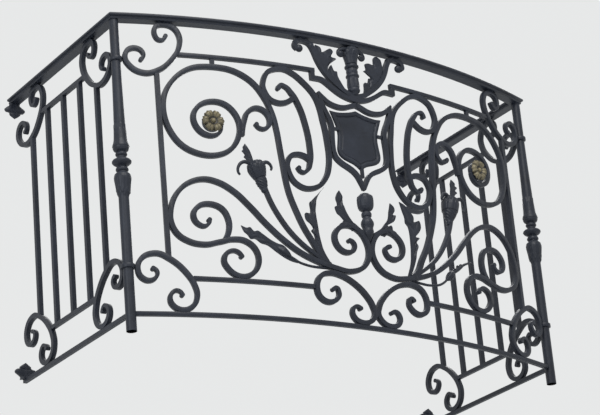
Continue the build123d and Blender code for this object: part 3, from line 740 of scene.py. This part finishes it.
def reliefAt(steps, distance):
    for (near, low), (far, high) in zip(steps, steps[1:]):
        if distance <= far:
            return low + (high - low) * (distance - near) / (far - near)
    return steps[-1][1]


def addShield(shape, plate):
    top = smoothPath([(x, 0, z) for x, z in plate["top"]], plate["topSteps"])
    edge = smoothPath([(x, 0, z) for x, z in plate["side"]], plate["sideSteps"])
    half = spacedSpots(top, plate["topSpots"])[:-1] + spacedSpots(edge, plate["sideSpots"])
    around = half + [Vector((-point.x, 0, point.z)) for point in half[-2:0:-1]]
    count = len(around)
    rings = plate["borderRings"] + plate["fieldRings"]
    reach = plate["nearSpots"]
    middle = Vector((plate["middle"][0], 0, plate["middle"][1]))
    made = bmesh.ops.create_grid(shape, x_segments=count, y_segments=rings, size=1)["verts"]
    for vertex in made:
        spot = round((vertex.co.x + 1) / 2 * count) % count
        ring = round((vertex.co.y + 1) / 2 * rings)
        if ring < plate["borderRings"]:
            inwards = plate["borderShare"] * ring / plate["borderRings"]
        else:
            inwards = 1 - (1 - plate["borderShare"]) * (rings - ring) / plate["fieldRings"]
        point = around[spot].lerp(middle, inwards)
        near = [around[(spot + step) % count] for step in range(-reach, reach + 1)]
        distance = min(distanceToLine(point, first, second) for first, second in zip(near, near[1:]))
        point.y = -plate["out"] - reliefAt(plate["relief"], distance)
        vertex.co = point * mm
    bmesh.ops.remove_doubles(shape, verts=shape.verts, dist=mergeDistance)
    thicken(shape, shape.verts[:], plate["thick"])
    bendToBow(shape.verts)


shape = bmesh.new()
addShield(shape, shield)
ironPiece(shape, "blankShield", "shield_plate")
print("shield raised")

# Flower buds on the stems: scaled leaves round an egg, two curls and a serrated sprig.
# Each is forged by hand: the left one leans further and stands on a slimmer cup.
budForm = {
    "steps": 84, "row": 1.5,
    "curlRadii": [7.5, 6.6, 5.8, 5.2, 4.6, 4.0, 3.4], "curlRings": 28, "curlSides": 12,
    # a twisted cup below, and two rows of petals round the head
    "twist": 14, "cup": (9, 42, 9, 2.2),
    "petals": 7, "petalRows": ((44, 88, 2.6, 1.0, 0.0), (44, 98, 2.6, 0.7, 0.5)),
}
buds = {
    "left": {
        "root": (346, 451), "lean": 17.0,
        # radius and height above the root
        "profile": [(0, -5), (7, -4), (9.6, 0), (10.8, 3.5), (10.6, 7), (11.4, 10), (13, 15), (15.4, 22),
                    (17.4, 30), (17.6, 37), (16.8, 42), (17.6, 46), (20.4, 54), (23.4, 64), (25, 74),
                    (25, 84), (22.4, 92), (16, 98), (8, 101), (0, 102)],
        "outerCurl": [(380, -4, 527), (394, -6, 536), (409, -7, 538), (422, -7, 531), (430, -6, 517),
                      (430, -5, 504), (424, -4, 496)],
        "innerCurl": [(354, -4, 532), (345, -6, 541), (335, -7, 543), (326, -6, 538), (321, -5, 528),
                      (323, -4, 520)],
    },
    "right": {
        "root": (338, 446), "lean": 12.0,
        "profile": [(0, -5), (7, -4), (9, 0), (10.4, 4), (10, 8), (12, 12), (16, 20), (20.4, 30), (23, 40),
                    (24, 50), (25, 62), (25, 74), (22.6, 86), (16, 95), (8, 99), (0, 100)],
        "outerCurl": [(372, -4, 526), (384, -6, 535), (395, -7, 538), (405, -7, 532), (411, -6, 520),
                      (410, -5, 507), (405, -4, 500)],
        "innerCurl": [(346, -4, 530), (336, -6, 540), (326, -7, 543), (317, -6, 538), (312, -5, 528),
                      (314, -4, 520)],
    },
}
sprigForm = {
    "rib": 1.0, "puff": 1.6, "curl": 1.2, "out": 2.0, "thick": 3.0, "wide": 16, "back": 0.2, "narrow": 0.07,
    "rows": 56, "columns": 12, "innerCuts": [], "outerCuts": [3, 5],
}
sprigs = {
    "left": {
        "inner": [(376, 538), (380, 556), (384, 570), (388, 580), (400, 600)],
        "outer": [(394, 534), (400, 548), (407, 555), (403, 564), (412, 574), (407, 580), (408, 588),
                  (404, 594), (400, 600)],
    },
    "right": {
        "inner": [(354, 538), (357, 556), (360, 572), (360, 586), (368, 602)],
        "outer": [(370, 534), (377, 550), (388, 559), (382, 567), (390, 577), (383, 583), (383, 590),
                  (375, 597), (368, 602)],
    },
}


def budRelief(angle, height):
    grown = flutes(angle + height / budForm["twist"], height, *budForm["cup"])
    for row in budForm["petalRows"]:
        grown += leafCollar(angle, height, budForm["petals"], row)
    return grown


# A spot on the bow, leaning away from its middle.
def leaningSpot(place, lean, side):
    return bowSpot(side * place[0], place[1]) @ Matrix.Rotation(math.radians(lean * side), 4, "Y")


shape = bmesh.new()
for word, side in sides.items():
    bud = {**budForm, **buds[word]}
    addTurned(shape, bud["profile"], bud["steps"], bud["row"], leaningSpot(bud["root"], bud["lean"], side),
              budRelief)
    for curl in ("outerCurl", "innerCurl"):
        addVine(shape, bud[curl], bud["curlRadii"], bud["curlRings"], bud["curlSides"], side)
    addLeaf(shape, {**sprigForm, **sprigs[word]}, side)
ironPiece(shape, "flowerBuds", "buds")

# Acanthus leaves, forged by hand, so that the left one of a pair is not quite the right one.
leafForm = {
    "rib": 2.2, "puff": 3.4, "curl": 2.6, "out": 0.0, "thick": 4.0, "wide": 26, "back": 0.12, "narrow": 0.035,
    "innerCuts": [], "outerCuts": [],
}
shoulderLeaf = {
    "inner": [(140, 944), (150, 956), (164, 963), (178, 964), (190, 960), (197, 950)],
    "outer": [(134, 950), (143, 970), (151, 966), (162, 977), (174, 973), (188, 977), (194, 971), (206, 968),
              (205, 954), (197, 950)],
    "outerCuts": [2, 4, 6],
    "out": 6.0, "thick": 14.0, "rows": 60, "columns": 12,
}
basketLeaves = {
    "left": {
        "inner": [(26, 822), (44, 845), (57, 868), (59, 884), (70, 886), (79, 904), (91, 884), (84, 906),
                  (58, 927), (73, 935), (67, 951), (78, 960), (96, 947), (105, 939), (112, 958), (126, 966)],
        "outer": [(30, 814), (62, 832), (94, 856), (116, 888), (130, 922), (134, 948), (128, 966)],
        "innerCuts": [6, 9, 13],
    },
    "right": {
        "inner": [(16, 820), (37, 832), (39, 858), (44, 866), (55, 867), (61, 884), (72, 884), (64, 896),
                  (44, 905), (56, 914), (51, 930), (66, 936), (81, 934), (88, 941), (86, 955), (94, 965),
                  (106, 968)],
        "outer": [(20, 812), (62, 832), (94, 856), (114, 888), (121, 916), (120, 938), (116, 958),
                  (106, 968)],
        "innerCuts": [6, 9, 13],
    },
}
stemLeaves = {
    "left": {
        "inner": [(150, 250), (160, 266), (169, 285), (173, 302), (177, 322), (179, 342), (181, 365),
                  (183, 386), (183, 406), (180, 425), (177, 440), (170, 455), (159, 471), (143, 490)],
        "outer": [(165, 256), (184, 283), (192, 305), (196, 328), (204, 340), (195, 350), (205, 362),
                  (217, 371), (221, 382), (219, 395), (200, 399), (202, 428), (190, 441), (182, 450),
                  (166, 465), (143, 490)],
        "outerCuts": [5, 10, 12],
    },
    "right": {
        "inner": [(136, 236), (152, 280), (158, 320), (160, 350), (160, 380), (157, 400), (150, 416),
                  (145, 435), (138, 456), (134, 482)],
        "outer": [(144, 232), (162, 266), (175, 298), (181, 322), (191, 344), (188, 358), (199, 372),
                  (187, 376), (200, 392), (209, 410), (204, 430), (186, 422), (182, 440), (166, 460),
                  (150, 474), (134, 482)],
        "innerCuts": [6], "outerCuts": [5, 7, 11],
    },
}
heartLeaves = {
    "left": {
        "inner": [(30, 362), (50, 380), (66, 400), (76, 418), (81, 432), (85, 445), (83, 456), (85, 469),
                  (92, 485)],
        "outer": [(60, 356), (84, 384), (99, 400), (109, 408), (114, 427), (103, 435), (109, 455),
                  (101, 474), (92, 485)],
        "innerCuts": [6], "outerCuts": [5],
    },
    "right": {
        "inner": [(30, 360), (48, 378), (64, 396), (78, 413), (84, 434), (89, 452), (96, 471)],
        "outer": [(60, 354), (80, 374), (90, 387), (78, 395), (102, 411), (111, 431), (103, 434), (109, 448),
                  (107, 460), (96, 471)],
        "outerCuts": [3, 6],
    },
}
heartSideLeaf = {
    "inner": [(20, 352), (44, 366), (70, 370), (96, 360), (112, 348)],
    "outer": [(12, 356), (32, 368), (52, 381), (66, 384), (85, 393), (93, 380), (105, 371), (112, 348)],
    "outerCuts": [3, 5],
    "out": 5.0, "rows": 60, "columns": 12,
}
for name, node, pair, rows, columns, besideLeaf in (
    ("basketAcanthus", "basket_leaves", basketLeaves, 130, 30, shoulderLeaf),
    ("stemAcanthus", "stem_leaves", stemLeaves, 140, 20, None),
    ("heartAcanthus", "heart_leaves", heartLeaves, 90, 18, heartSideLeaf),
):
    shape = bmesh.new()
    for word, side in sides.items():
        addLeaf(shape, {**leafForm, **pair[word], "rows": rows, "columns": columns}, side)
        if besideLeaf:
            addLeaf(shape, {**leafForm, **besideLeaf}, side)
    ironPiece(shape, name, node)
print("leaves forged")

# Tendrils under the stems, each with a cast bulb: the left one carries a broad leaf, the right one
# a thin whisker with a small leaf.
tendrils = {
    "left": {
        "path": [(152, 0, 226), (205, 0, 226), (238, 0, 231), (262, 0, 239), (286, 0, 252)],
        "bulb": (300, 263), "lean": 57.0,
    },
    "right": {
        "path": [(152, 0, 226), (205, 0, 222), (238, 0, 225), (264, 0, 231), (286, 0, 243), (302, 0, 257)],
        "bulb": (316, 269), "lean": 50.0,
    },
}
tendrilForm = {
    "radii": [4.2, 4.1, 4.0, 3.9, 3.6], "rings": 40, "sides": 12,
    "bulbProfile": [(0, -28), (3.6, -26), (6.5, -20), (10.4, -11), (13, -2), (12.6, 6), (9.6, 15), (5.6, 23),
                    (0, 30)],
    "bulbSteps": 40, "bulbRow": 2.0,
    "bulbLobes": 6, "lobeHeight": 0.8, "lobeEnd": 26, "lobeFade": 14,
    "whisker": [(318, 0, 272), (332, -2, 282), (348, -4, 294), (374, -5, 313), (397, -4, 324),
                (413, -2, 330), (428, 0, 331)],
    "whiskerRadii": [5.4, 5.0, 4.4, 4.2, 3.6, 3.0, 2.2],
}
whiskerLeaf = {
    "inner": [(330, 276), (344, 284), (358, 293), (372, 304), (386, 316)],
    "outer": [(326, 284), (336, 296), (348, 301), (352, 311), (362, 310), (368, 318), (386, 316)],
    "innerCuts": [], "outerCuts": [2, 4],
}
tendrilLeaf = {
    "inner": [(258, 233), (278, 237), (300, 246), (326, 262), (350, 279), (372, 286), (390, 297), (404, 297),
              (414, 309), (424, 318), (432, 337)],
    "outer": [(256, 242), (280, 256), (287, 271), (302, 284), (321, 289), (344, 300), (366, 315), (380, 324),
              (392, 322), (404, 333), (416, 331), (432, 337)],
    "innerCuts": [5, 7], "outerCuts": [2, 8, 10],
    "rib": 1.2, "puff": 3.0, "curl": 0.6, "out": 0.0, "thick": 4.0, "wide": 26, "back": 0.15, "narrow": 0.05,
    "rows": 90, "columns": 14,
}


def bulbRelief(angle, height):
    fade = easeIn((tendrilForm["lobeEnd"] - abs(height)) / tendrilForm["lobeFade"])
    return tendrilForm["lobeHeight"] * math.cos(tendrilForm["bulbLobes"] * angle) * fade


for word, side in sides.items():
    tendril = {**tendrilForm, **tendrils[word]}
    shape = bmesh.new()
    addVine(shape, tendril["path"], tendril["radii"], tendril["rings"], tendril["sides"], side)
    addTurned(shape, tendril["bulbProfile"], tendril["bulbSteps"], tendril["bulbRow"],
              leaningSpot(tendril["bulb"], tendril["lean"], side), bulbRelief)
    if word == "left":
        addLeaf(shape, tendrilLeaf, side)
    else:
        addVine(shape, tendril["whisker"], tendril["whiskerRadii"], tendril["rings"], tendril["sides"], side)
        addLeaf(shape, {**tendrilLeaf, **whiskerLeaf}, side)
    ironPiece(shape, "tendrilVine_" + word, "tendril_" + word)
print("tendrils drawn")

# Gilded flowers in the volutes, each on a dark cup.
rosette = {
    "place": 499.0, "height": 661.0, "petals": 6, "steps": 120, "row": 1.2,
    "cup": [(0, -11), (27.5, -11), (28.5, -9.5), (29, 0), (29, 9), (27.5, 11.5), (0, 11.5)],
    "cupSteps": 48, "cupRow": 4,
    "face": [(0, 21), (3, 20.8), (5.4, 19.6), (6.8, 17), (7.2, 13.6), (8.4, 13), (12, 14), (16, 17),
             (20, 20), (25, 21), (29, 19.6), (32, 16.4), (34.4, 12.6), (34.6, 11), (30, 10), (20, 9.6),
             (0, 9.6)],
    "back": 0.0105,   # what lies behind this stays flat
    "eye": 8, "eyePit": 2.5, "eyeLobes": 6, "eyeLobeHeight": 0.4,
    "spread": 18, "notch": 0.13, "notchRound": 0.6,
    "ruffle": 0.04, "ruffleFrom": 24, "ruffleSpan": 8,
    "cupped": 1.6, "groove": 3.2, "crease": 1.8, "creaseWidth": 0.02,
}
# How strongly painted shade darkens the flowers: in the grooves between petals, in the eye and along each
# petal's crease.
rosettePaintedShade = {"groove": 0.65, "eye": 0.8, "eyeEnd": 17, "eyeSpan": 6, "crease": 0.35, "creaseWidth": 0.03}


# Petals are cupped, with a groove between each pair and a crease down the middle of each.
def petalLift(petal, between):
    crease = math.exp(-((petal - 1) / rosette["creaseWidth"]) ** 2)
    return rosette["cupped"] * petal**0.7 - rosette["groove"] * between**7 - rosette["crease"] * crease


# Painted shade at a spot on a flower, from 0 to 1.
def petalPaintedShade(petal, between, radius):
    crease = math.exp(-((petal - 1) / rosettePaintedShade["creaseWidth"]) ** 2)
    eye = easeIn((rosettePaintedShade["eyeEnd"] - radius) / rosettePaintedShade["eyeSpan"])
    paintedShade = rosettePaintedShade["groove"] * between**9 + rosettePaintedShade["eye"] * eye + rosettePaintedShade["crease"] * crease
    return min(1.0, paintedShade)


def addRosette(gold, dark, side):
    face = Matrix.Rotation(math.radians(90), 4, "X")
    spot = bowSpot(side * rosette["place"], rosette["height"])
    addTurned(dark, rosette["cup"], rosette["cupSteps"], rosette["cupRow"], spot @ face)
    hollow = gold.verts.layers.float["hollow"]
    flower = addTurned(gold, rosette["face"], rosette["steps"], rosette["row"], Matrix.Identity(4))
    for vertex in flower:
        angle = math.atan2(vertex.co.y, vertex.co.x)
        radius = math.hypot(vertex.co.x, vertex.co.y) / mm
        petal = abs(math.cos(angle * rosette["petals"] / 2))
        between = abs(math.sin(angle * rosette["petals"] / 2))
        if radius > rosette["eye"]:
            spread = easeIn((radius - rosette["eye"]) / rosette["spread"])
            ruffle = rosette["ruffle"] * easeIn((radius - rosette["ruffleFrom"]) / rosette["ruffleSpan"])
            ruffle *= math.cos(angle * rosette["petals"] * 3)
            scale = 1 - rosette["notch"] * spread * (1 - petal**rosette["notchRound"]) + ruffle
            vertex.co.x *= scale
            vertex.co.y *= scale
            if vertex.co.z > rosette["back"]:
                vertex.co.z += mm * spread * petalLift(petal, between)
            # the hollow layer carries the painted shade
            vertex[hollow] = petalPaintedShade(petal, between, radius)
        elif vertex.co.z > rosette["back"] and radius > rosette["eyePit"]:
            vertex.co.z += rosette["eyeLobeHeight"] * mm * math.cos(angle * rosette["eyeLobes"])
    bmesh.ops.transform(gold, matrix=spot @ face, verts=flower)


gold = bmesh.new()
dark = bmesh.new()
# a layer of painted shade for the hollows of the flowers
gold.verts.layers.float.new("hollow")
for side in sides.values():
    addRosette(gold, dark, side)
ironPiece(dark, "rosetteCups", "rosettes")
finishPiece(gold, "rosetteFlowers", gilding, ["rosettes"])
print("rosettes gilded")

# Leaf brackets at the wall, hanging under each handrail and standing on each bottom rail.
bracketEdge = [(18, -4), (17, 5), (24, 11), (34, 19), (31, 28), (19, 31), (16, 39), (0, 50)]
bracketLeaf = {
    "inner": [(-x, z) for x, z in bracketEdge],
    "outer": bracketEdge,
    "innerCuts": [5], "outerCuts": [5],
    "rib": 3.0, "puff": 4.0, "curl": -2.0, "out": 5.0, "thick": 9.0, "wide": 30, "back": 0.12, "narrow": 0.09,
    "rows": 72, "columns": 32,
    "feet": ((0.978, -1), (0.0595, 1)),   # height of each leaf's foot, and whether it grows down or up
    "wallFace": 0.655, "clear": 0.006,
}
for word, side in sides.items():
    along = (1 + side) * bow["halfSpan"]
    shape = bmesh.new()
    for foot, up in bracketLeaf["feet"]:
        for vertex in addLeaf(shape, bracketLeaf, 1, bend=False):
            back = bracketLeaf["wallFace"] - bracketLeaf["clear"] + vertex.co.y
            vertex.co = (along + vertex.co.x, back, foot + up * vertex.co.z)
    ironPiece(shape, "leafBracket_" + word, "wall_brackets_" + word)
print("wall brackets forged")

# A pale floor at the foot of the railing. It is clear from below, where the camera stands.
paleFloor = {"centre": (0.766, 0.2, -0.0005), "radius": 6.0, "tone": (0.80, 0.80, 0.79, 1), "roughness": 0.9}


def makeFloor(look):
    shape = bmesh.new()
    bmesh.ops.create_circle(
        shape, cap_ends=True, radius=look["radius"], segments=96, matrix=Matrix.Translation(look["centre"])
    )
    mesh = bpy.data.meshes.new("floor")
    shape.to_mesh(mesh)
    shape.free()
    floor = addObject("floor", mesh)
    material = bpy.data.materials.new("paleFloor")
    material.use_nodes = True
    tree = material.node_tree
    shader = tree.nodes["Principled BSDF"]
    shader.inputs["Base Color"].default_value = look["tone"]
    shader.inputs["Roughness"].default_value = look["roughness"]
    geometry = newNode(tree, "ShaderNodeNewGeometry", (-400, 300))
    rays = newNode(tree, "ShaderNodeLightPath", (-400, 600))
    fromBelow = mathNode(tree, "MULTIPLY", (-200, 400), geometry.outputs["Backfacing"],
                         rays.outputs["Is Camera Ray"])
    clear = newNode(tree, "ShaderNodeBsdfTransparent", (-200, 150))
    pick = newNode(tree, "ShaderNodeMixShader", (300, 200))
    tree.links.new(fromBelow, pick.inputs["Fac"])
    tree.links.new(shader.outputs["BSDF"], pick.inputs[1])
    tree.links.new(clear.outputs["BSDF"], pick.inputs[2])
    tree.links.new(pick.outputs["Shader"], tree.nodes["Material Output"].inputs["Surface"])
    mesh.materials.append(material)


makeFloor(paleFloor)

# Soft studio light: a large lamp above the front, a weaker one from the left, and a pale world.
lampAim = (0.766, 0.2, 0.5)
lamps = {
    "key": {"place": (-0.6, -3.2, 4.2), "size": 3.2, "power": 190, "tone": (1.0, 0.985, 0.96)},
    "side": {"place": (-4.2, -2.0, 1.2), "size": 2.6, "power": 70, "tone": (0.90, 0.95, 1.0)},
    "back": {"place": (3.4, 3.2, 3.2), "size": 2.6, "power": 70, "tone": (1.0, 1.0, 1.0)},
}
worldLight = {"sky": (0.86, 0.92, 1.0, 1), "strength": 0.55, "backdrop": (0.80, 0.81, 0.81, 1)}

for name, lamp in lamps.items():
    data = bpy.data.lights.new(name, "AREA")
    data.size = lamp["size"]
    data.energy = lamp["power"]
    data.color = lamp["tone"]
    light = addObject(name, data)
    light.location = lamp["place"]
    aim = Vector(lampAim) - Vector(lamp["place"])
    light.rotation_euler = aim.to_track_quat("-Z", "Y").to_euler()


def makeWorld(look):
    world = bpy.data.worlds.new("studio")
    bpy.context.scene.world = world
    world.use_nodes = True
    tree = world.node_tree
    tree.nodes.clear()
    rays = newNode(tree, "ShaderNodeLightPath", (-400, 200))
    sky = newNode(tree, "ShaderNodeBackground", (-200, 0), Color=look["sky"], Strength=look["strength"])
    back = newNode(tree, "ShaderNodeBackground", (-200, -200), Color=look["backdrop"], Strength=1.0)
    pick = newNode(tree, "ShaderNodeMixShader", (100, 0))
    out = newNode(tree, "ShaderNodeOutputWorld", (300, 0))
    seen = mathNode(tree, "MAXIMUM", (-200, 200), rays.outputs["Is Camera Ray"],
                    rays.outputs["Is Glossy Ray"])
    tree.links.new(seen, pick.inputs["Fac"])
    tree.links.new(sky.outputs["Background"], pick.inputs[1])
    tree.links.new(back.outputs["Background"], pick.inputs[2])
    tree.links.new(pick.outputs["Shader"], out.inputs["Surface"])


makeWorld(worldLight)
bpy.context.scene.view_settings.view_transform = "Standard"
print("stage lit")
